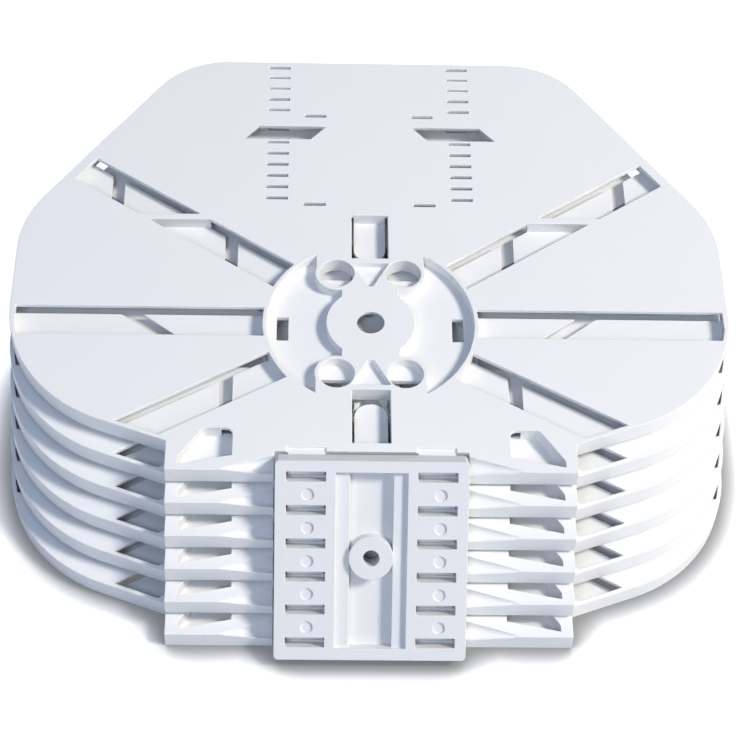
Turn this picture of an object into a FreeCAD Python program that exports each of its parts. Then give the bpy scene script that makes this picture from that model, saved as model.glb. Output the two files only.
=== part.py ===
"""Fibre splice module: six moulded splice trays that hinge, stair-stepped, on one slotted block.

Frame: X across the trays, Y from the block (-Y) to the rear edge (+Y), Z up, millimetres.
Each tray is drawn about the centre of its fibre hub, with its underside at Z 0, and is then placed
on its row. The block is drawn about the hinge axis of its lowest row and leans back over the trays.
"""
import FreeCAD, Part
import math
import os

import Sketcher

ROWS = 6
SIDES = (("left", -1), ("right", 1))
LADDER_STEPS = (0, 1, 2, 3, 4, 7, 8, 9, 10, 11, 12)
DIMPLE_SIDES = 12

SIZES = {
    # Tray outline, from the hub centre
    "tray_width": 200.0,
    "rear_edge": 102.0,
    "rear_half": 55.4,
    "side_rear": 36.9,
    "side_front": 24.0,
    "tab_half": 54.6,
    "tab_root": 41.0,
    "tab_front": 50.3,
    "tab_inner": 25.8,
    "deck_front": 44.0,
    "rear_round": 25.0,
    "side_round": 35.0,
    "front_round": 42.0,
    "tray_height": 5.6,
    "wall": 1.2,
    # Fibre hub
    "hub_radius": 30.0,
    "hub_recess": 3.2,
    "disc_radius": 12.3,
    "centre_hole_radius": 3.8,
    "socket_x": 9.4,
    "socket_y": 17.8,
    "socket_radius": 6.1,
    "bridge_half": 8.0,
    "land_half": 15.2,
    "funnel_tip": 13.2,
    "funnel_tip_half": 0.8,
    "funnel_edge": 21.6,
    "funnel_edge_half": 5.3,
    "funnel_depth": 2.0,
    "key_hole_x": 24.4,
    "key_hole_width": 3.2,
    "key_hole_length": 8.2,
    # Fibre retaining fingers and the slots above them
    "slot_width": 10.0,
    "upper_angle": 34.5,
    "upper_end": 100.2,
    "lower_angle": 30.3,
    "side_end": 98.3,
    "finger_level": 0.8,
    "finger_height": 1.1,
    "finger_gap": 3.6,
    "outer_gap_x": 73.2,
    "inner_gap_x": 39.5,
    "web_x": 56.0,
    "web_width": 2.2,
    "side_gap_x": 57.0,
    "side_gap_turn": 52.0,
    "window_half": 5.2,
    "rear_window_near": 23.4,
    "rear_window_far": 39.7,
    "front_window_near": 23.4,
    "front_window_far": 41.2,
    "tongue_gap": 2.1,
    "tongue_root": 1.8,
    # Splice ladder
    "ladder_x": 23.7,
    "slit_length": 6.3,
    "slit_width": 1.1,
    "ladder_first": 99.6,
    "ladder_pitch": 4.45,
    "inner_slit_x": 12.75,
    "inner_slit_rear": 79.4,
    "inner_slit_front": 43.9,
    "strap_x": 12.8,
    "strap_rear": 75.0,
    "strap_front": 69.8,
    "strap_length": 20.0,
    "strap_lean": 4.5,
    # Fibre entry in each tab
    "pocket_inner": 37.0,
    "pocket_rear": 36.6,
    "pocket_rear_outer": 44.8,
    "pocket_outer": 51.3,
    "pocket_bend": 46.5,
    "pocket_front": 48.4,
    "pocket_front_inner": 45.4,
    "pocket_round": 2.0,
    "port_width": 3.0,
    "tab_floor": 1.4,
    "groove_radius": 2.9,
    "groove_length": 19.0,
    "groove_x": 23.8,
    "groove_y": 47.7,
    "groove_z": 4.9,
    "groove_turn": 9.0,
    "groove_rise": 3.6,
    # Hinge
    "row_pitch": 9.0,
    "block_lean": 42.0,
    "swing": 60.0,
    "axis_back": 49.4,
    "axis_drop": 1.2,
    "pin_radius": 1.2,
    "pin_clearance": 0.08,
    "neck_thickness": 1.2,
    "neck_clearance": 0.25,
    "lug_x": 12.1,
    "lug_length": 10.4,
    "lug_side_clearance": 0.3,
    "notch_rear": 42.7,
    # Hinge block
    "block_half": 25.5,
    "block_behind": 3.0,
    "block_ahead": 5.0,
    "block_above": 3.7,
    "block_below": 5.4,
    "block_corner": 1.2,
    "window_height": 2.6,
    "window_drop": 0.6,
    "channel_half": 9.4,
    "channel_depth": 4.2,
    "channel_end": 3.2,
    "ledge_width": 3.7,
    "ledge_depth": 1.4,
    "fixing_radius": 5.9,
    "fixing_bore": 2.15,
    "dimple_radius": 1.6,
    "dimple_depth": 0.5,
    "dimple_left": 16.8,
    "dimple_right": 18.2,
    "dimple_drop": 0.9,
}

doc = FreeCAD.newDocument("fibre_splice_module")
sheet = doc.addObject("Spreadsheet::Sheet", "dim")
for row, (alias, value) in enumerate(SIZES.items(), start=1):
    sheet.set("A%d" % row, alias)
    sheet.set("B%d" % row, str(value))
    sheet.setAlias("B%d" % row, alias)
doc.recompute()


def number(expression):
    """The present value of an expression on the sheet's sizes."""
    return float(sheet.evalExpression(expression))


def bind(item, **expressions):
    """Ties properties of an object to the sheet; a double underscore stands for a dot."""
    for path, expression in expressions.items():
        item.setExpression(path.replace("__", "."), expression)


def place(item, x="0", y="0", z="0"):
    bind(item, Placement__Base__x=x, Placement__Base__y=y, Placement__Base__z=z)
    return item


def box(name, length, width, height, x="0", y="0", z="0"):
    item = doc.addObject("Part::Box", name)
    bind(item, Length=length, Width=width, Height=height)
    return place(item, x, y, z)


def cylinder(name, radius, height, x="0", y="0", z="0"):
    item = doc.addObject("Part::Cylinder", name)
    bind(item, Radius=radius, Height=height)
    return place(item, x, y, z)


def cross_cylinder(name, radius, length, x="0", y="0", z="0"):
    """A cylinder whose axis runs along +X."""
    item = doc.addObject("Part::Cylinder", name)
    item.Placement = FreeCAD.Placement(FreeCAD.Vector(), FreeCAD.Rotation(FreeCAD.Vector(0, 1, 0), 90))
    bind(item, Radius=radius, Height=length)
    return place(item, x, y, z)


def fuse(name, shapes, refine=False):
    item = doc.addObject("Part::MultiFuse", name)
    item.Shapes = shapes
    item.Refine = refine
    return item


def cut(name, base, tools, refine=False):
    item = doc.addObject("Part::Cut", name)
    item.Base = base
    item.Tool = tools[0] if len(tools) == 1 else fuse(name + "_tools", tools)
    item.Refine = refine
    return item


def polygon(sketch, corners):
    """Draws a closed polygon whose corners are pairs of expressions on the sheet."""
    points = [FreeCAD.Vector(number(x), number(y), 0) for x, y in corners]
    count = len(points)
    for i in range(count):
        sketch.addGeometry(Part.LineSegment(points[i], points[(i + 1) % count]), False)
    for i in range(count):
        sketch.addConstraint(Sketcher.Constraint("Coincident", i, 2, (i + 1) % count, 1))
    for i, corner in enumerate(corners):
        for kind, expression, value in zip(("DistanceX", "DistanceY"), corner, (points[i].x, points[i].y)):
            index = sketch.addConstraint(Sketcher.Constraint(kind, -1, 1, i, 1, value))
            sketch.setExpression("Constraints[%d]" % index, expression)
    return sketch


def prism(name, corners, height, z="0"):
    """An upright prism over a polygon in the XY plane."""
    sketch = polygon(doc.addObject("Sketcher::SketchObject", name + "_sketch"), corners)
    item = doc.addObject("Part::Extrusion", name)
    item.Base = sketch
    item.DirMode = "Normal"
    item.Solid = True
    bind(item, LengthFwd=height)
    return place(item, z=z)


def origin_plane(body, role):
    return next(plane for plane in body.Origin.OriginFeatures if plane.Role == role)


def upright_edges(shape, corners):
    """Names of the upright edges that stand on the given corners."""
    names = []
    for i, edge in enumerate(shape.Edges, start=1):
        ends = [vertex.Point for vertex in edge.Vertexes]
        if len(ends) != 2 or abs(ends[0].z - ends[1].z) < 1e-6:
            continue
        for x, y in corners:
            if math.hypot(ends[0].x - x, ends[0].y - y) < 1e-3:
                names.append("Edge%d" % i)
    return names


HALF = "dim.tray_width / 2"
TOP = "dim.tray_height"
DECK = "(dim.tray_height - dim.wall)"
IN_RING = "(dim.hub_radius - dim.wall / 2)"
FINGER_TOP = "(dim.finger_level + dim.finger_height)"


def mirrored(corners):
    """The corners of the right half, front to rear, closed by their mirror image."""
    return corners + [("-(%s)" % x, y) for x, y in reversed(corners)]


def rounded_pad(name, corners, height, rounds):
    """An upright body over a polygon, whose named corners are rounded, each group by its own size."""
    body = doc.addObject("PartDesign::Body", name)
    sketch = body.newObject("Sketcher::SketchObject", name + "_outline")
    sketch.AttachmentSupport = (origin_plane(body, "XY_Plane"), [""])
    sketch.MapMode = "FlatFace"
    polygon(sketch, corners)
    feature = body.newObject("PartDesign::Pad", name + "_pad")
    feature.Profile = sketch
    bind(feature, Length=height)
    doc.recompute()
    for size, spots in rounds:
        edges = upright_edges(feature.Shape, [(number(x), number(y)) for x, y in spots])
        base = feature
        feature = body.newObject("PartDesign::Fillet", "%s_%s" % (name, size))
        feature.Base = (base, edges)
        bind(feature, Radius="dim." + size)
        doc.recompute()
    body.Tip = feature
    return body


def tray_blank(name):
    """The tray's rounded outline as a full-height solid, the start of its shell and of its trims."""
    right = [
        ("dim.tab_inner", "-dim.deck_front"),
        ("dim.tab_inner", "-dim.tab_front"),
        ("dim.tab_half", "-dim.tab_front"),
        ("dim.tab_half", "-dim.tab_root"),
        (HALF, "-dim.side_front"),
        (HALF, "dim.side_rear"),
        ("dim.rear_half", "dim.rear_edge"),
    ]
    rounds = (
        ("rear_round", mirrored(right[6:])),
        ("side_round", mirrored(right[5:6])),
        ("front_round", mirrored(right[4:5])),
    )
    return rounded_pad(name, mirrored(right), TOP, rounds)


def hollow(body):
    """Hollows a blank from below, leaving the deck and the rim."""
    base = body.Tip
    faces = base.Shape.Faces
    underside = min(range(len(faces)), key=lambda i: faces[i].CenterOfMass.z)
    shell = body.newObject("PartDesign::Thickness", body.Name + "_hollow")
    shell.Base = (base, ["Face%d" % (underside + 1)])
    shell.Reversed = True
    shell.Join = 1
    bind(shell, Value="dim.wall")
    body.Tip = shell
    doc.recompute()
    return body


def radial(name, side, angle, start, end, height, z):
    """A bar along a ray from the hub centre, its angle counted up from the X axis of its own side."""
    bar = doc.addObject("Part::Box", name)
    heading = angle if side > 0 else "180 - (%s)" % angle
    spin = FreeCAD.Vector(0, 0, 1 if number(heading) >= 0 else -1)
    bar.Placement.Rotation = FreeCAD.Rotation(spin, abs(number(heading)) or 360.0)
    bar.setExpression("Placement.Rotation.Angle", "abs(%s)" % heading)
    bind(bar, Length="(%s) - (%s)" % (end, start), Width="dim.slot_width", Height=height)
    half = "dim.slot_width / 2"
    x = "(%s) * cos(%s) + %s * sin(%s)" % (start, heading, half, heading)
    y = "(%s) * sin(%s) - %s * cos(%s)" % (start, heading, half, heading)
    return place(bar, x, y, z)


RAYS = (("upper", "dim.upper_angle"), ("side", "0"), ("lower", "-dim.lower_angle"))
SLOT_ENDS = {"upper": "dim.upper_end", "side": "dim.side_end", "lower": "dim.tray_width"}


def ray_slots(interior):
    """The six slots in the deck that show the fingers, trimmed by the rim's inner face."""
    bars = []
    for side_name, side in SIDES:
        for ray, angle in RAYS:
            name = "%s_%s_slot" % (side_name, ray)
            bars.append(radial(name, side, angle, IN_RING, SLOT_ENDS[ray], TOP, FINGER_TOP))
    trimmed = doc.addObject("Part::Common", "ray_slots")
    trimmed.Base = fuse("ray_slot_bars", bars)
    trimmed.Tool = interior
    return trimmed


def finger_gaps():
    """Gaps that let a fibre slip under the fingers: along Y on the rays, slanting on the side fingers."""
    gaps = []
    for side_name, side in SIDES:
        for ray, angle, gap_x in (
            ("upper_outer", "dim.upper_angle", "dim.outer_gap_x"),
            ("upper_inner", "dim.upper_angle", "dim.inner_gap_x"),
            ("lower", "-dim.lower_angle", "dim.inner_gap_x"),
        ):
            gaps.append(box(
                "%s_%s_gap" % (side_name, ray),
                "dim.finger_gap", "2 * dim.slot_width", FINGER_TOP,
                "%d * %s - dim.finger_gap / 2" % (side, gap_x),
                "%s * tan(%s) - dim.slot_width" % (gap_x, angle),
                "dim.finger_level / 2",
            ))
        slant = "90 - %d * dim.side_gap_turn" % side
        gap = doc.addObject("Part::Box", side_name + "_side_gap")
        gap.Placement.Rotation = FreeCAD.Rotation(FreeCAD.Vector(0, 0, 1), number(slant))
        gap.setExpression("Placement.Rotation.Angle", slant)
        bind(gap, Length="4 * dim.slot_width", Width="dim.finger_gap", Height=FINGER_TOP)
        gaps.append(place(
            gap,
            "%d * dim.side_gap_x - 2 * dim.slot_width * cos(%s)" % (side, slant),
            "-2 * dim.slot_width * sin(%s)" % slant,
            "dim.finger_level / 2",
        ))
    return gaps


def fingers(blank):
    """Thin bars from the hub to the rim, near the open underside, that keep the fibre in."""
    bars = []
    for side_name, side in SIDES:
        for ray, angle in RAYS:
            name = "%s_%s_finger" % (side_name, ray)
            bars.append(radial(
                name, side, angle, IN_RING, "dim.tray_width", "dim.finger_height", "dim.finger_level",
            ))
    split = cut("split_fingers", fuse("finger_bars", bars), finger_gaps())
    trimmed = doc.addObject("Part::Common", "fingers")
    trimmed.Base = split
    trimmed.Tool = blank
    return trimmed


def webs():
    """Short walls that carry the middle of each upper finger from the deck."""
    made = []
    for side_name, side in SIDES:
        across = "dim.slot_width / sin(dim.upper_angle) + dim.web_width / tan(dim.upper_angle)"
        made.append(box(
            side_name + "_web", across, "dim.web_width", "dim.tray_height - dim.finger_level",
            "%d * dim.web_x - (%s) / 2" % (side, across),
            "dim.web_x * tan(dim.upper_angle) - dim.web_width / 2",
            "dim.finger_level",
        ))
    return made


def tongue(name, near, far, facing):
    """A round-ended retaining tongue in a window before (-1) or behind (1) the hub, on a wall at its root."""
    width = "2 * (dim.window_half - dim.wall / 2)"
    radius = "dim.window_half - dim.wall / 2"
    tip = "%d * ((%s) + dim.tongue_gap + %s)" % (facing, near, radius)
    edge = "%d * ((%s) + dim.tongue_root)" % (facing, far)
    low = tip if facing > 0 else edge
    length = "abs((%s) - (%s))" % (edge, tip)
    level = "dim.finger_level"
    bar = box(name + "_bar", width, length, "dim.finger_height", "-(%s)" % radius, low, level)
    end = cylinder(name + "_end", radius, "dim.finger_height", y=tip, z=level)
    root_low = far if facing > 0 else edge
    root = box(
        name + "_root", width, "dim.tongue_root", "dim.tray_height - dim.wall / 2 - dim.finger_level",
        "-(%s)" % radius, root_low, level,
    )
    return [bar, end, root]


def hub_land():
    """The level middle of the hub, before and behind its disc, and the funnel pockets sunk into it."""
    land = [box(
        "hub_bridge", "2 * dim.bridge_half", "2 * dim.socket_y", TOP, "-dim.bridge_half", "-dim.socket_y",
    )]
    funnels = []
    bottom = "dim.tray_height - dim.funnel_depth"
    for end_name, end in (("rear", 1), ("front", -1)):
        low = "dim.socket_y" if end > 0 else "-%s" % IN_RING
        land.append(box(
            "hub_%s_land" % end_name, "2 * dim.land_half", "%s - dim.socket_y" % IN_RING, TOP,
            "-dim.land_half", low,
        ))
        half = [
            ("dim.funnel_tip_half", "%d * dim.funnel_tip" % end),
            ("dim.funnel_edge_half", "%d * dim.funnel_edge" % end),
        ]
        funnels.append(prism("hub_%s_funnel" % end_name, mirrored(half), "dim.funnel_depth", bottom))
    return land, funnels


def hub():
    """The round mandrel that the fibre is wound on: a disc and four sockets between two sunk crescents."""
    outer = cylinder("hub_body", "dim.hub_radius", TOP)
    floor = "(dim.tray_height - dim.hub_recess)"
    recess = cylinder("hub_recess_full", "dim.hub_radius - dim.wall", "dim.hub_recess", z=floor)
    land, funnels = hub_land()
    kept = land + [cylinder("hub_disc", "dim.disc_radius", TOP)]
    holes = [
        cylinder("hub_centre_hole", "dim.centre_hole_radius", TOP),
        cylinder("hub_disc_core", "dim.disc_radius - dim.wall", DECK),
        cylinder("hub_underside", "dim.hub_radius - dim.wall", "dim.finger_level"),
    ]
    for side_name, side in SIDES:
        for end_name, end in (("rear", 1), ("front", -1)):
            x = "%d * dim.socket_x" % side
            y = "%d * dim.socket_y" % end
            name = "%s_%s_socket" % (side_name, end_name)
            kept.append(cylinder(name, "dim.socket_radius", TOP, x, y))
            bore = cylinder(name + "_bore", "dim.socket_radius - dim.wall", TOP, x, y)
            low_x = "%s - dim.socket_radius" % x
            low_y = y if end < 0 else "%s - dim.socket_radius" % y
            ledge = box(name + "_ledge", "2 * dim.socket_radius", "dim.socket_radius", floor, low_x, low_y)
            holes.append(cut(name + "_opening", bore, [ledge]))
        holes.append(box(
            side_name + "_key_hole", "dim.key_hole_width", "dim.key_hole_length", TOP,
            "%d * dim.key_hole_x - dim.key_hole_width / 2" % side, "-dim.key_hole_length / 2",
        ))
    ring = cut("hub_ring", outer, [cut("hub_crescents", recess, kept)] + funnels)
    return ring, holes


def ladder():
    """Slits in the deck under the splice holders, in two columns, with the slanting strap slots."""
    slits = []
    for side_name, side in SIDES:
        column = "%d * (dim.ladder_x + dim.slit_length / 2) - dim.slit_length / 2" % side
        inner = "%d * (dim.inner_slit_x + dim.slit_length / 2) - dim.slit_length / 2" % side
        for step in LADDER_STEPS:
            y = "dim.ladder_first - %d * dim.ladder_pitch - dim.slit_width / 2" % step
            name = "%s_slit_%d" % (side_name, step)
            slits.append(box(name, "dim.slit_length", "dim.slit_width", TOP, column, y))
        for row_name in ("rear", "front"):
            y = "dim.inner_slit_%s - dim.slit_width / 2" % row_name
            name = "%s_inner_slit_%s" % (side_name, row_name)
            slits.append(box(name, "dim.slit_length", "dim.slit_width", TOP, inner, y))
        corners = [
            ("%d * dim.strap_x" % side, "dim.strap_rear"),
            ("%d * (dim.strap_x + dim.strap_length)" % side, "dim.strap_rear"),
            ("%d * (dim.strap_x + dim.strap_length + dim.strap_lean)" % side, "dim.strap_front"),
            ("%d * (dim.strap_x + dim.strap_lean)" % side, "dim.strap_front"),
        ]
        slits.append(prism(side_name + "_strap_slot", corners, TOP))
    return slits


def tab_fills():
    """Solid tabs under the deck, which the pocket and the fibre entry are then cut from."""
    fills = []
    inner = "dim.tab_inner + dim.wall / 2"
    outer = "dim.tab_half - dim.wall / 2"
    front = "-dim.tab_front + dim.wall / 2"
    rear = "-dim.pocket_rear + dim.wall"
    step = "-dim.deck_front + dim.wall / 2"
    corners = [
        (inner, front),
        (outer, front),
        (outer, "-dim.pocket_bend"),
        ("dim.pocket_rear_outer + dim.wall / 2", rear),
        ("dim.pocket_inner - dim.wall", rear),
        ("dim.pocket_inner - dim.wall", step),
        (inner, step),
    ]
    for side_name, side in SIDES:
        sided = [("%d * (%s)" % (side, x), y) for x, y in corners]
        fills.append(prism(side_name + "_tab_fill", sided, "dim.tray_height - dim.wall / 2"))
    return fills


def tab_openings():
    """The walled pocket in each tab, its port into the tray and the groove that leads to the block."""
    corners = [
        ("dim.pocket_inner", "-dim.pocket_rear"),
        ("dim.pocket_rear_outer", "-dim.pocket_rear"),
        ("dim.pocket_outer", "-dim.pocket_bend"),
        ("dim.pocket_outer", "-dim.pocket_front"),
        ("dim.pocket_inner", "-dim.pocket_front_inner"),
    ]
    tools = []
    for side_name, side in SIDES:
        sided = [("%d * %s" % (side, x), y) for x, y in corners]
        pocket = rounded_pad(side_name + "_pocket", sided, TOP, [("pocket_round", sided[:3])])
        tools.append(place(pocket, z="dim.tab_floor"))
        port_x = "%d * (dim.pocket_inner + dim.port_width / 2) - dim.port_width / 2" % side
        tools.append(box(
            side_name + "_port", "dim.port_width", "3 * dim.wall", "%s - dim.tab_floor" % DECK,
            port_x, "-dim.pocket_rear - dim.wall", "dim.tab_floor",
        ))
        tools.append(groove(side_name + "_groove", side))
    return tools


def groove(name, side):
    """A groove that tapers out through the front of the tab, for a tube that comes from beside the block."""
    cone = doc.addObject("Part::Cone", name)
    turn = math.radians(number("dim.groove_turn"))
    heading = FreeCAD.Vector(math.sin(turn), side * math.cos(turn), 0)
    cone.Placement.Rotation = FreeCAD.Rotation(heading, 90 - number("dim.groove_rise"))
    cone.setExpression("Placement.Rotation.Angle", "90 - dim.groove_rise")
    bind(cone, Radius1="dim.groove_radius", Radius2="0", Height="dim.groove_length")
    return place(cone, "%d * dim.groove_x" % side, "-dim.groove_y", "dim.groove_z")


AXIS_Z = "(dim.tray_height - dim.axis_drop)"


def lugs():
    """Two hinge lugs on the front edge: a cross pin on a thin neck."""
    made = []
    length = "dim.lug_length - 2 * dim.lug_side_clearance"
    for side_name, side in SIDES:
        x = "%d * (dim.lug_x + dim.lug_length / 2) - (%s) / 2" % (side, length)
        made.append(cross_cylinder(side_name + "_pin", "dim.pin_radius", length, x, "-dim.axis_back", AXIS_Z))
        made.append(box(
            side_name + "_neck", length, "dim.axis_back - dim.deck_front + dim.wall / 2",
            "dim.neck_thickness", x, "-dim.axis_back", AXIS_Z + " - dim.neck_thickness / 2",
        ))
    return made


def lug_notches():
    """Shallow steps in the deck's front edge, level with the lugs."""
    tools = []
    for side_name, side in SIDES:
        tools.append(box(
            side_name + "_lug_notch", "dim.lug_length", "dim.deck_front - dim.notch_rear", TOP,
            "%d * (dim.lug_x + dim.lug_length / 2) - dim.lug_length / 2" % side,
            "-dim.deck_front", AXIS_Z + " + dim.neck_thickness / 2",
        ))
    return tools


def windows():
    made = []
    for name, near, far, facing in WINDOWS:
        low = near if facing > 0 else "-(%s)" % far
        length = "(%s) - (%s)" % (far, near)
        made.append(box(
            name + "_window", "2 * dim.window_half", length, TOP,
            "-dim.window_half", low,
        ))
    return made


WINDOWS = (
    ("rear", "dim.rear_window_near", "dim.rear_window_far", 1),
    ("front", "dim.front_window_near", "dim.front_window_far", -1),
)


def tray():
    """One splice tray, deck up and open below, about its hub centre."""
    blank = tray_blank("tray_blank")
    shell = hollow(tray_blank("tray_shell"))
    interior = cut("tray_interior", blank, [shell])
    bind(interior, Placement__Base__z="dim.wall")
    ring, hub_holes = hub()
    through_hub = cylinder("hub_clearance", IN_RING, TOP)
    open_shell = fuse("open_shell", [cut("shell_without_hub", shell, [through_hub])] + tab_fills())
    deck = cut("cut_deck", open_shell, [ray_slots(interior)] + ladder() + tab_openings())
    walls = cut("cut_walls", fuse("tray_walls", [deck, ring]), hub_holes + windows() + lug_notches())
    tongues = []
    for name, near, far, facing in WINDOWS:
        tongues += tongue(name + "_tongue", near, far, facing)
    return fuse("tray", [walls, fingers(blank)] + tongues + webs() + lugs(), refine=True)


def lug_sockets():
    """Through-sockets for the lugs: a round seat, a mouth that flares behind and a window in front."""
    tools = []
    seat = "dim.pin_radius + dim.pin_clearance"
    play = "(dim.neck_thickness / 2 + dim.neck_clearance)"
    reach = "(2 * dim.block_behind)"
    fallen = "(dim.swing - dim.block_lean)"
    for side_name, side in SIDES:
        x = "%d * (dim.lug_x + dim.lug_length / 2) - dim.lug_length / 2" % side
        for row in range(ROWS):
            name = "%s_row_%d" % (side_name, ROWS - row)
            z = "%d * dim.row_pitch" % row
            tools.append(cross_cylinder(name + "_seat", seat, "dim.lug_length", x, "0", z))
            front_z = "%s - dim.window_drop - dim.window_height / 2" % z
            tools.append(box(
                name + "_window", "dim.lug_length", "dim.block_ahead", "dim.window_height",
                x, "-dim.block_ahead", front_z,
            ))
            mouth = doc.addObject("Part::Wedge", name + "_mouth")
            bind(
                mouth, Xmin="0", Xmax="dim.lug_length", X2min="0", X2max="dim.lug_length",
                Ymin="0", Ymax=reach,
                Zmin="-%s / cos(%s)" % (play, fallen),
                Zmax="%s / cos(dim.block_lean)" % play,
                Z2min="-%s / cos(%s) - %s * tan(%s)" % (play, fallen, reach, fallen),
                Z2max="%s / cos(dim.block_lean) + %s * tan(dim.block_lean)" % (play, reach),
            )
            tools.append(place(mouth, x, "0", z))
    return tools


def block_recesses():
    """The fixing channel between two ledges, the bore of its boss and the dimples between the windows."""
    face = "-dim.block_ahead"
    low = "-dim.block_below + dim.channel_end"
    height = "%d * dim.row_pitch + dim.block_above + dim.block_below - 2 * dim.channel_end" % (ROWS - 1)
    middle = "%g * dim.row_pitch" % ((ROWS - 1) / 2)
    channel = box(
        "channel", "2 * dim.channel_half", "dim.channel_depth", height, "-dim.channel_half", face, low,
    )
    ledges = [
        box(
            side_name + "_ledge", "dim.ledge_width", "dim.channel_depth - dim.ledge_depth", height,
            "%d * (dim.channel_half - dim.ledge_width / 2) - dim.ledge_width / 2" % side,
            "%s + dim.ledge_depth" % face, low,
        )
        for side_name, side in SIDES
    ]
    boss = boss_cylinder("fixing_boss", "dim.fixing_radius", "dim.channel_depth", "0", face, middle)
    thickness = "dim.block_ahead + dim.block_behind"
    bore = boss_cylinder("fixing_bore", "dim.fixing_bore", thickness, "0", face, middle)
    tools = [cut("channel_recess", channel, ledges + [boss]), bore]
    for gap in range(ROWS - 1):
        z = "%g * dim.row_pitch - dim.dimple_drop" % (gap + 0.5)
        for side_name, side in SIDES:
            x = "%d * dim.dimple_%s" % (side, side_name)
            name = "%s_dimple_%d" % (side_name, gap + 1)
            tools.append(dimple(name, x, face, z))
    return tools


def dimple(name, x, y, z):
    """A faint gate mark in the block's face, kept to few sides because it repeats."""
    item = doc.addObject("Part::Prism", name)
    item.Polygon = DIMPLE_SIDES
    item.Placement = FreeCAD.Placement(FreeCAD.Vector(), FreeCAD.Rotation(FreeCAD.Vector(1, 0, 0), -90))
    bind(item, Circumradius="dim.dimple_radius", Height="dim.dimple_depth")
    return place(item, x, y, z)


def boss_cylinder(name, radius, length, x, y, z):
    """A cylinder whose axis runs along +Y, into the block."""
    item = doc.addObject("Part::Cylinder", name)
    item.Placement = FreeCAD.Placement(FreeCAD.Vector(), FreeCAD.Rotation(FreeCAD.Vector(1, 0, 0), -90))
    bind(item, Radius=radius, Height=length)
    return place(item, x, y, z)


def block_foot():
    """Trims the leaning block's lowest corner level with the underside of the lowest tray."""
    depth = "(4 * dim.block_below)"
    drop = "(%s + dim.block_below)" % AXIS_Z
    item = doc.addObject("Part::Box", "block_foot")
    item.Placement.Rotation = FreeCAD.Rotation(FreeCAD.Vector(1, 0, 0), number("dim.block_lean"))
    item.setExpression("Placement.Rotation.Angle", "dim.block_lean")
    bind(item, Length="2 * dim.block_half", Width=depth, Height="dim.block_below")
    y = "%s * sin(dim.block_lean) - %s / 2 * cos(dim.block_lean)" % (drop, depth)
    z = "-%s * cos(dim.block_lean) - %s / 2 * sin(dim.block_lean)" % (drop, depth)
    return place(item, "-dim.block_half", y, z)


def hinge_block():
    """The slotted hinge block about the axis of its lowest row, with its face towards -Y."""
    plate = box(
        "block_plate", "2 * dim.block_half", "dim.block_ahead + dim.block_behind",
        "%d * dim.row_pitch + dim.block_above + dim.block_below" % (ROWS - 1),
        "-dim.block_half", "-dim.block_ahead", "-dim.block_below",
    )
    doc.recompute()
    corners = doc.addObject("Part::Fillet", "block_rounds")
    corners.Base = plate
    radius = number("dim.block_corner")
    through = [
        i for i, edge in enumerate(plate.Shape.Edges, start=1)
        if abs(edge.Vertexes[0].Y - edge.Vertexes[-1].Y) > 1e-6
    ]
    corners.Edges = [(i, radius, radius) for i in through]
    return cut("block", corners, lug_sockets() + block_recesses() + [block_foot()], refine=True)


STEP_Y = "(dim.row_pitch * sin(dim.block_lean))"
STEP_Z = "(dim.row_pitch * cos(dim.block_lean))"
CORNER = "dim.block_below * sin(dim.block_lean) + dim.block_ahead * cos(dim.block_lean)"
FRONT = "(dim.axis_back + %d * %s + %s)" % (ROWS - 1, STEP_Y, CORNER)
CENTRE = "((dim.rear_edge - %s) / 2)" % FRONT


def placed_trays(master):
    """The six trays, top to bottom, each one row further down and forward."""
    trays = []
    for row in range(1, ROWS + 1):
        link = doc.addObject("App::Link", "tray_%d" % row)
        link.LinkedObject = master
        y = "-%d * %s - %s" % (row - 1, STEP_Y, CENTRE)
        place(link, "0", y, "%d * %s" % (ROWS - row, STEP_Z))
        trays.append(link)
    return trays


def placed_block(block):
    link = doc.addObject("App::Link", "hinge_block")
    link.LinkedObject = block
    link.Placement.Rotation = FreeCAD.Rotation(FreeCAD.Vector(-1, 0, 0), number("dim.block_lean"))
    link.setExpression("Placement.Rotation.Angle", "dim.block_lean")
    y = "-dim.axis_back - %d * %s - %s" % (ROWS - 1, STEP_Y, CENTRE)
    return place(link, "0", y, AXIS_Z)


def write_parts(pieces):
    """Checks every object and each piece, then writes one STEP file for each piece."""
    doc.recompute()
    failed = [item.Name for item in doc.Objects if "Invalid" in item.State or "Error" in item.State]
    if failed:
        raise RuntimeError("failed objects: " + ", ".join(failed))
    shapes = {piece.Label: Part.getShape(piece) for piece in pieces}
    for label, shape in shapes.items():
        if shape.isNull() or not shape.isValid() or len(shape.Solids) != 1:
            raise RuntimeError("bad shape: " + label)
    os.makedirs("parts", exist_ok=True)
    for label, shape in shapes.items():
        shape.Solids[0].exportStep(os.path.join("parts", label + ".step"))
        print("%-12s %9.1f mm3  %s" % (label, shape.Volume, shape.BoundBox))


write_parts(placed_trays(tray()) + [placed_block(hinge_block())])
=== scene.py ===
# %% [markdown]
# # A module of hinged fibre splice trays
# Six white moulded trays hang, stair-stepped, on one leaning hinge block. Spare optical fibre is wound
# round the hub of each tray, and the splices lie in holders under the ladder of slits at its rear.
# The solids come from CAD, so this lesson is about what a renderer adds: soft moulded edges, a plastic
# that catches the light, and a camera and lamps that show the part as a catalogue would.

# %% Load the frame
import math

import bmesh
import bpy
from mathutils import Matrix, Vector


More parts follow.
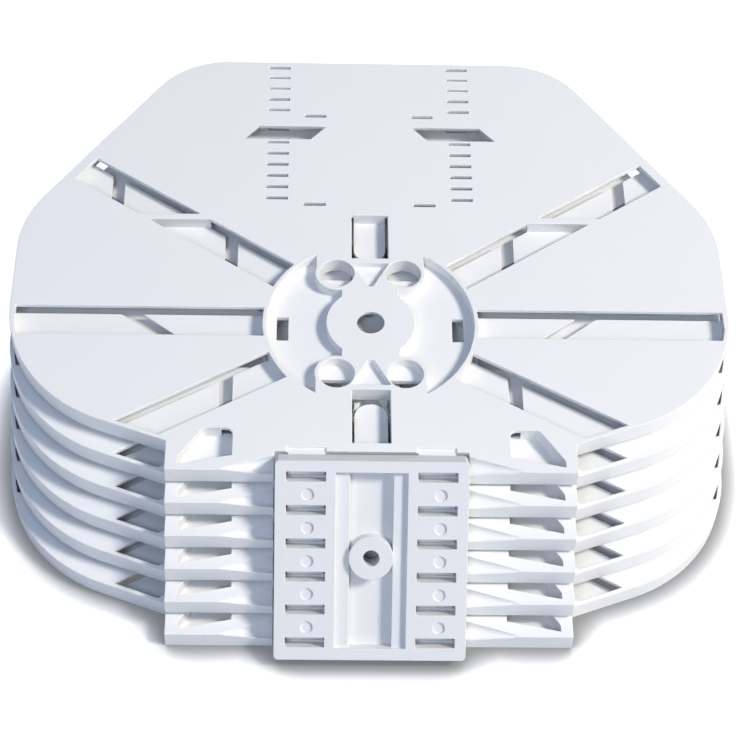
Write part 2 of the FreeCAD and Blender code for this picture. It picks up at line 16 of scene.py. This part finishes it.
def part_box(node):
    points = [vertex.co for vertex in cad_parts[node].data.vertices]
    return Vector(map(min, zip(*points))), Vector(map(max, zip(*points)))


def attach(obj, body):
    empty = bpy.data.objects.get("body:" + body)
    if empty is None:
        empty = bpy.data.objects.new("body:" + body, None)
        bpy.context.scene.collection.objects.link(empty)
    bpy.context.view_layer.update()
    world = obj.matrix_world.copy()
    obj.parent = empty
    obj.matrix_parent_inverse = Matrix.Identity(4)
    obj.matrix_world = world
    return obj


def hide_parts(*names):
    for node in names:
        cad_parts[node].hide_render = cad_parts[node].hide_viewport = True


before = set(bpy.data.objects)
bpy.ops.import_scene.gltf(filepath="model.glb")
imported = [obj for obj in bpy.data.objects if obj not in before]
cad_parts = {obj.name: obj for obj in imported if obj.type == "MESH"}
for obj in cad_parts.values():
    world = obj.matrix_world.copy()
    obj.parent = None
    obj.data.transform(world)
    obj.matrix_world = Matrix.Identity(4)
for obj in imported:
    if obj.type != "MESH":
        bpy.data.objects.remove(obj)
scene = bpy.context.scene
MM = 0.001
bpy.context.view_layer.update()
tray_names = sorted(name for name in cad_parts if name.startswith("tray_"))

# %% [markdown]
# ## The camera
# The photograph looks down on the decks from the front. Its angles were found by matching points of the
# top tray, such as the slits and the hub's wall, to their places in the picture. The long lens keeps the
# sides of the stack nearly parallel, as product photographs do.

# %% Place the camera
IMAGE_SIZE = 736
LENS_PIXELS = 2156.7
SENSOR_WIDTH = 36.0
NEAREST_SEEN = 10 * MM
ELEVATION = math.radians(52.11)
YAW = math.radians(2.327)
ROLL = math.radians(2.47)
HUB_TO_REAR = 102.0 * MM
AIM_FROM_HUB = Vector((-0.577, -9.980, -7.778)) * MM
DISTANCE = 597.4 * MM

top_low, top_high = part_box("tray_1")
hub = Vector((0, top_high.y - HUB_TO_REAR, top_high.z))
aim = hub + AIM_FROM_HUB

lens = bpy.data.cameras.new("photo_camera")
lens.sensor_width = SENSOR_WIDTH
lens.lens = LENS_PIXELS * SENSOR_WIDTH / IMAGE_SIZE
lens.clip_start = NEAREST_SEEN
camera = bpy.data.objects.new("photo_camera", lens)
scene.collection.objects.link(camera)
tilt = Matrix.Rotation(math.pi / 2 - ELEVATION, 3, "X") @ Matrix.Rotation(ROLL, 3, "Z")
turn = Matrix.Rotation(-YAW, 3, "Z") @ tilt
camera.matrix_world = Matrix.Translation(aim + turn @ Vector((0, 0, DISTANCE))) @ turn.to_4x4()
scene.camera = camera
print("camera stands at", tuple(round(value, 4) for value in camera.location))

# %% [markdown]
# ## Helpers for shaders
# Paper, sky and plastic are all built from shader nodes. Four short functions take up what they share.

# %% Define the shader helpers
def empty_tree(owner, output_kind):
    """Clears the nodes of a material or world. Returns its tree and the surface of a new output."""
    owner.use_nodes = True
    tree = owner.node_tree
    tree.nodes.clear()
    return tree, tree.nodes.new(output_kind).inputs["Surface"]


def math_node(tree, operation, first, second):
    """Joins two values, each a socket or a number, by one operation."""
    node = tree.nodes.new("ShaderNodeMath")
    node.operation = operation
    for socket, value in zip(node.inputs, (first, second)):
        if isinstance(value, (int, float)):
            socket.default_value = value
        else:
            tree.links.new(value, socket)
    return node.outputs[0]


def color_between(tree, low, high, share):
    """A colour that runs from one to another as a share goes from nought to one."""
    mix = tree.nodes.new("ShaderNodeMix")
    mix.data_type = "RGBA"
    mix.inputs["A"].default_value = (*low, 1)
    mix.inputs["B"].default_value = (*high, 1)
    tree.links.new(share, mix.inputs["Factor"])
    return mix.outputs["Result"]


def noise(tree, place, size, detail):
    """Noise whose blotches are about as large as a given size."""
    node = tree.nodes.new("ShaderNodeTexNoise")
    node.inputs["Scale"].default_value = 1 / size
    node.inputs["Detail"].default_value = detail
    tree.links.new(place, node.inputs["Vector"])
    return node.outputs["Fac"]


print("helpers:", [helper.__name__ for helper in (empty_tree, math_node, color_between, noise)])

# %% [markdown]
# ## White paper
# A catalogue photograph stands its object on white paper, and all that is left of the paper is a narrow
# soft shadow along the edge that touches it. A plain white floor would give a broad grey one. So the
# paper's colour falls off only close to the part, by ambient occlusion: the share of the sky that a point
# of the floor loses to things within a few millimetres. For the camera and for mirror-like rays the paper
# also glows a little, which lifts it to white. The light that it throws back at the part is that of
# ordinary pale paper.

# %% Mix the paper
PAPER_TONE = 0.7
PAPER_LIFT = 0.9
PAPER_GLOW = 0.75
CONTACT_REACH = 10 * MM
CONTACT_SAMPLES = 32
CONTACT_POWER = 5.0
CONTACT_DEEPEST = 0.16


def seen_directly(tree):
    """One for rays from the camera, a mirror or clear plastic, and nought for light that bounces."""
    rays = tree.nodes.new("ShaderNodeLightPath").outputs
    mirrored = math_node(tree, "MAXIMUM", rays["Is Glossy Ray"], rays["Is Transmission Ray"])
    return math_node(tree, "MAXIMUM", rays["Is Camera Ray"], mirrored)


def contact_shade(tree):
    """One on open paper, less close to the part, and never under the deepest shade."""
    contact = tree.nodes.new("ShaderNodeAmbientOcclusion")
    contact.inputs["Distance"].default_value = CONTACT_REACH
    contact.samples = CONTACT_SAMPLES
    falloff = math_node(tree, "POWER", contact.outputs["AO"], CONTACT_POWER)
    lit_share = math_node(tree, "MULTIPLY", falloff, 1 - CONTACT_DEEPEST)
    return math_node(tree, "ADD", lit_share, CONTACT_DEEPEST)


def white_paper():
    """Paper that is lifted to white where it is seen, and stays pale for light that bounces."""
    material = bpy.data.materials.new("white_paper")
    tree, surface = empty_tree(material, "ShaderNodeOutputMaterial")
    shade = contact_shade(tree)
    seen = seen_directly(tree)
    tone = tree.nodes.new("ShaderNodeMix")
    tone.data_type = "FLOAT"
    tone.inputs["A"].default_value = PAPER_TONE
    paper = tree.nodes.new("ShaderNodeBsdfDiffuse")
    glow = tree.nodes.new("ShaderNodeEmission")
    both = tree.nodes.new("ShaderNodeAddShader")
    seen_shade = math_node(tree, "MULTIPLY", shade, seen)
    tree.links.new(seen, tone.inputs["Factor"])
    tree.links.new(math_node(tree, "MULTIPLY", shade, PAPER_LIFT), tone.inputs["B"])
    tree.links.new(tone.outputs["Result"], paper.inputs["Color"])
    tree.links.new(math_node(tree, "MULTIPLY", seen_shade, PAPER_GLOW), glow.inputs["Strength"])
    tree.links.new(paper.outputs[0], both.inputs[0])
    tree.links.new(glow.outputs[0], both.inputs[1])
    tree.links.new(both.outputs[0], surface)
    return material


paper_material = white_paper()
print("paper:", paper_material.name)

# %% [markdown]
# ## The floor
# The paper lies flat at z = 0, where the lowest tray stands. It is staging, not a piece of the module.

# %% Lay the floor
FLOOR_SIZE = 3.0


def paper_floor():
    """A wide square of paper under the part."""
    half = FLOOR_SIZE / 2
    mesh = bpy.data.meshes.new("floor")
    corners = [(-half, -half, 0), (half, -half, 0), (half, half, 0), (-half, half, 0)]
    mesh.from_pydata(corners, [], [(0, 1, 2, 3)])
    mesh.materials.append(paper_material)
    floor = bpy.data.objects.new("floor", mesh)
    scene.collection.objects.link(floor)
    return floor


print("floor:", paper_floor().name)

# %% [markdown]
# ## The lamps
# One soft lamp stands to the right and a little to the front. It makes the faces that look right almost
# as pale as the decks, and the walls that look left fall into shade. A weaker blue lamp in front, a
# little to the left, opens up the slots and windows that the camera looks into.

# %% Hang the lamps
LAMP_TARGET = Vector((0, 0, 20)) * MM
LAMP_SIZE = 0.5
KEY = {"turn": -14, "rise": 46, "away": 2.0, "power": 37.5, "color": (1.0, 0.965, 0.905)}
FRONT = {"turn": -108, "rise": 48, "away": 1.5, "power": 5.9, "color": (0.64, 0.79, 1.0)}


def hang_lamp(name, turn, rise, away, power, color):
    """A round soft lamp aimed at the part, at a turn about Z and a rise above the floor in degrees."""
    light = bpy.data.lights.new(name, "AREA")
    light.shape = "DISK"
    light.size = LAMP_SIZE
    light.energy = power
    light.color = color
    flat = math.cos(math.radians(rise))
    heading = math.radians(turn)
    height = math.sin(math.radians(rise))
    aside = Vector((flat * math.cos(heading), flat * math.sin(heading), height))
    lamp = bpy.data.objects.new(name, light)
    lamp.location = LAMP_TARGET + aside * away
    lamp.rotation_euler = (-aside).to_track_quat("-Z", "Y").to_euler()
    scene.collection.objects.link(lamp)
    print(name, "at", tuple(round(value, 2) for value in lamp.location))


hang_lamp("key_lamp", **KEY)
hang_lamp("front_lamp", **FRONT)

# %% [markdown]
# ## The sky
# The sky fills the shade. It is white on the right and blue on the left, which is why the shaded rims on
# the left are cool. The camera itself sees plain white behind the paper.

# %% Fill the sky
SKY_LEFT = (0.3, 0.48, 1.0)
SKY_RIGHT = (1.0, 1.0, 1.0)
SKY_STRENGTH = 0.29
BACKDROP = (1.0, 1.0, 1.0)
FAR_LEFT = -1.0


def studio_sky():
    """A world that is tinted from left to right for light, and plain for the camera."""
    world = bpy.data.worlds.new("studio")
    tree, surface = empty_tree(world, "ShaderNodeOutputWorld")
    direction = tree.nodes.new("ShaderNodeTexCoord")
    split = tree.nodes.new("ShaderNodeSeparateXYZ")
    across = tree.nodes.new("ShaderNodeMapRange")
    across.inputs["From Min"].default_value = FAR_LEFT
    tint = color_between(tree, SKY_LEFT, SKY_RIGHT, across.outputs["Result"])
    fill = tree.nodes.new("ShaderNodeBackground")
    fill.inputs["Strength"].default_value = SKY_STRENGTH
    backdrop = tree.nodes.new("ShaderNodeBackground")
    backdrop.inputs["Color"].default_value = (*BACKDROP, 1)
    choose = tree.nodes.new("ShaderNodeMixShader")
    camera_ray = tree.nodes.new("ShaderNodeLightPath").outputs["Is Camera Ray"]
    tree.links.new(direction.outputs["Generated"], split.inputs[0])
    tree.links.new(split.outputs["X"], across.inputs["Value"])
    tree.links.new(tint, fill.inputs["Color"])
    tree.links.new(camera_ray, choose.inputs[0])
    tree.links.new(fill.outputs[0], choose.inputs[1])
    tree.links.new(backdrop.outputs[0], choose.inputs[2])
    tree.links.new(choose.outputs[0], surface)
    return world


scene.world = studio_sky()
scene.view_settings.view_transform = "Standard"
print("sky:", scene.world.name, "at strength", SKY_STRENGTH)

# %% [markdown]
# ## White moulded plastic
# The trays are injection moulded in white plastic. Up close such a surface isn't perfectly flat: the
# melt leaves faint cloudy differences in tone, and the spark-eroded mould leaves a fine grain that
# spreads the highlights. Noise at two scales gives both. The block is a shade deeper than the trays.

# %% Mix the plastic
PLASTIC_IOR = 1.5
CLOUD_SIZE = 30 * MM
CLOUD_DETAIL = 3.0
GRAIN_SIZE = 0.35 * MM
GRAIN_DETAIL = 2.0
GRAIN_STRENGTH = 0.12
GRAIN_DEPTH = 0.02 * MM
TRAY_TONES = {"pale": (0.855, 0.848, 0.838), "deep": (0.83, 0.825, 0.818)}
TRAY_POLISH = {"rough_low": 0.36, "rough_high": 0.48}
BLOCK_TONES = {"pale": (0.765, 0.762, 0.755), "deep": (0.74, 0.738, 0.732)}
BLOCK_POLISH = {"rough_low": 0.4, "rough_high": 0.52}


def moulded_plastic(name, pale, deep, rough_low, rough_high):
    """Plastic with a cloudy tone and a fine grain that varies its polish and its relief."""
    material = bpy.data.materials.new(name)
    tree, surface = empty_tree(material, "ShaderNodeOutputMaterial")
    plastic = tree.nodes.new("ShaderNodeBsdfPrincipled")
    plastic.inputs["IOR"].default_value = PLASTIC_IOR
    place = tree.nodes.new("ShaderNodeTexCoord").outputs["Object"]
    cloud = noise(tree, place, CLOUD_SIZE, CLOUD_DETAIL)
    grain = noise(tree, place, GRAIN_SIZE, GRAIN_DETAIL)
    polish = tree.nodes.new("ShaderNodeMapRange")
    polish.inputs["To Min"].default_value = rough_low
    polish.inputs["To Max"].default_value = rough_high
    relief = tree.nodes.new("ShaderNodeBump")
    relief.inputs["Strength"].default_value = GRAIN_STRENGTH
    relief.inputs["Distance"].default_value = GRAIN_DEPTH
    tree.links.new(color_between(tree, deep, pale, cloud), plastic.inputs["Base Color"])
    tree.links.new(grain, polish.inputs["Value"])
    tree.links.new(polish.outputs["Result"], plastic.inputs["Roughness"])
    tree.links.new(grain, relief.inputs["Height"])
    tree.links.new(relief.outputs["Normal"], plastic.inputs["Normal"])
    tree.links.new(plastic.outputs[0], surface)
    return material


tray_plastic = moulded_plastic("tray_plastic", **TRAY_TONES, **TRAY_POLISH)
block_plastic = moulded_plastic("block_plastic", **BLOCK_TONES, **BLOCK_POLISH)
print("plastics:", tray_plastic.name, block_plastic.name)

# %% [markdown]
# ## Soft moulded edges
# No moulded edge is razor sharp: the mould's corners wear and the plastic shrinks, which leaves a round
# of a fifth of a millimetre or so. It is small, but it is what draws the bright line along a rim. CAD
# solids arrive as loose triangles with sharp edges, so a copy is welded, its flat faces are joined again
# and a bevel rounds every edge between faces that meet at a clear angle.

# %% Round the edges of a copy
EDGE_ROUND = 0.2 * MM
EDGE_STEPS = 2
WELD = 0.002 * MM
FLAT = math.radians(0.5)
CLEAR_ANGLE = math.radians(38)


def draft_of(name, mesh):
    """An object that holds a mesh while modifiers work on it."""
    draft = bpy.data.objects.new(name, mesh)
    scene.collection.objects.link(draft)
    return draft


def finished(draft):
    """The plain mesh that a draft's modifiers give. The draft is then removed."""
    graph = bpy.context.evaluated_depsgraph_get()
    mesh = bpy.data.meshes.new_from_object(draft.evaluated_get(graph))
    bpy.data.objects.remove(draft)
    return mesh


def welded(name):
    """A copy of a solid's mesh whose triangles are joined into its faces again."""
    work = bmesh.new()
    work.from_mesh(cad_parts[name].data)
    bmesh.ops.remove_doubles(work, verts=work.verts, dist=WELD)
    bmesh.ops.dissolve_limit(work, angle_limit=FLAT, verts=work.verts, edges=work.edges)
    mesh = bpy.data.meshes.new(name + "_welded")
    work.to_mesh(mesh)
    work.free()
    for face in mesh.polygons:
        face.use_smooth = True
    return mesh


def softened(name):
    """The welded copy with its clear edges rounded, as a plain mesh."""
    draft = draft_of(name + "_draft", welded(name))
    round_edges = draft.modifiers.new("round_edges", "BEVEL")
    round_edges.width = EDGE_ROUND
    round_edges.segments = EDGE_STEPS
    round_edges.limit_method = "ANGLE"
    round_edges.angle_limit = CLEAR_ANGLE
    round_edges.use_clamp_overlap = False
    level = draft.modifiers.new("level_normals", "WEIGHTED_NORMAL")
    level.keep_sharp = True
    return finished(draft)


tray_mesh = softened("tray_1")
block_mesh = softened("hinge_block")
for label, mesh in (("tray", tray_mesh), ("block", block_mesh)):
    print(label, "rounded by", EDGE_ROUND / MM, "mm:", len(mesh.polygons), "faces")

# %% [markdown]
# ## The stair of trays
# All six trays come from one mould and hang on the block at one pitch. So one rounded tray is enough,
# and a rule places the rest: each row lies one step further down and further forward. Geometry Nodes
# state that rule with named inputs. The tree could lay out the whole stair at once, but every tray is a
# body of its own that swings on the block, so it is asked for one row at a time.

# %% Build the stair rule
STAIR_INPUTS = {
    "Tray": "NodeSocketGeometry",
    "Row": "NodeSocketInt",
    "Step": "NodeSocketVector",
    "Plastic": "NodeSocketMaterial",
}


def stair_rule():
    """A tree that moves a tray down the stair, and the identifiers of its inputs."""
    tree = bpy.data.node_groups.new("stair_rule", "GeometryNodeTree")
    identifiers = {}
    for label, kind in STAIR_INPUTS.items():
        socket = tree.interface.new_socket(label, in_out="INPUT", socket_type=kind)
        identifiers[label] = socket.identifier
    tree.interface.new_socket("Placed tray", in_out="OUTPUT", socket_type="NodeSocketGeometry")
    start = tree.nodes.new("NodeGroupInput")
    end = tree.nodes.new("NodeGroupOutput")
    shift = tree.nodes.new("ShaderNodeVectorMath")
    shift.operation = "SCALE"
    hold = tree.nodes.new("GeometryNodeGeometryToInstance")
    move = tree.nodes.new("GeometryNodeTranslateInstances")
    move.inputs["Local Space"].default_value = False
    solid = tree.nodes.new("GeometryNodeRealizeInstances")
    coat = tree.nodes.new("GeometryNodeSetMaterial")
    tree.links.new(start.outputs["Step"], shift.inputs["Vector"])
    tree.links.new(start.outputs["Row"], shift.inputs["Scale"])
    tree.links.new(start.outputs["Tray"], hold.inputs["Geometry"])
    tree.links.new(hold.outputs["Instances"], move.inputs["Instances"])
    tree.links.new(shift.outputs["Vector"], move.inputs["Translation"])
    tree.links.new(move.outputs["Instances"], solid.inputs["Geometry"])
    tree.links.new(solid.outputs["Geometry"], coat.inputs["Geometry"])
    tree.links.new(start.outputs["Plastic"], coat.inputs["Material"])
    tree.links.new(coat.outputs["Geometry"], end.inputs["Placed tray"])
    return tree, identifiers


rule, inputs = stair_rule()
row_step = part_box("tray_2")[0] - top_low
print("one step of the stair, in mm:", tuple(round(value / MM, 3) for value in row_step))

# %% [markdown]
# ## Dressing the bodies
# Each finished moulding takes the place of its CAD solid and rides on the same body, so it swings with
# it.

# %% Dress the trays and the block
def tray_in_row(row):
    """A plain mesh of the tray that lies so many steps down the stair."""
    draft = draft_of("tray_draft", tray_mesh)
    stair = draft.modifiers.new("stair", "NODES")
    stair.node_group = rule
    stair[inputs["Row"]] = row
    stair[inputs["Step"]] = row_step
    stair[inputs["Plastic"]] = tray_plastic
    return finished(draft)


def dress(name, mesh):
    """Puts a finished mesh in the place of a CAD solid."""
    piece = bpy.data.objects.new(name + "_moulding", mesh)
    scene.collection.objects.link(piece)
    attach(piece, name)
    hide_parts(name)
    print(piece.name, len(mesh.polygons), "faces, own normals:", mesh.has_custom_normals)


for row, name in enumerate(tray_names):
    dress(name, tray_in_row(row))

block_mesh.materials.clear()
block_mesh.materials.append(block_plastic)
dress("hinge_block", block_mesh)
